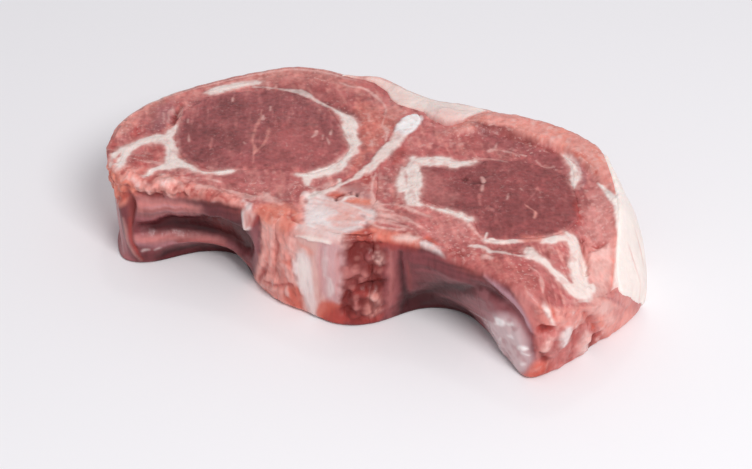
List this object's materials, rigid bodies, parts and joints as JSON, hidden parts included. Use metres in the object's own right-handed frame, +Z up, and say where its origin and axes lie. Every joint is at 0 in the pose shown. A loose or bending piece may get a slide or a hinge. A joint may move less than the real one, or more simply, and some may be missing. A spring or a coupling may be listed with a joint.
{
  "type": "raw lamb chop",
  "caption": "Thick raw lamb chop cut across the whole loin: backbone in the middle, an eye of lean on either side, seams of fat, and hollows under the ribs in front.",
  "frame": {"origin": "under the middle of the chop, on the surface that it lies on", "axes": "+X across the animal from side to side, +Y towards its back, +Z up out of the upper cut face"},
  "size_m": [0.1862, 0.0924, 0.0374],
  "materials": {
    "lean": "moist raw muscle, pinkish red, ragged and wet along the cut edges",
    "eye_lean": "moist raw muscle of the loin, darker maroon red, fine grain",
    "bone": "sawn bone, pale pink, with red marrow and bluish white cartilage",
    "outer_fat": "smooth cream-white fat, tinged with pink",
    "seam_fat": "cream-white fat between the muscles"
  },
  "bodies": {
    "root": {"lean": "lean", "eye_left": "eye_lean", "eye_right": "eye_lean", "backbone": "bone", "fat_back": "outer_fat", "fat_right": "outer_fat", "seam_left_inner": "seam_fat", "seam_left_outer": "seam_fat", "seam_left_upper": "seam_fat", "seam_right_inner": "seam_fat", "seam_right_outer": "seam_fat", "seam_right_upper": "seam_fat"}
  },
  "joints": []
}
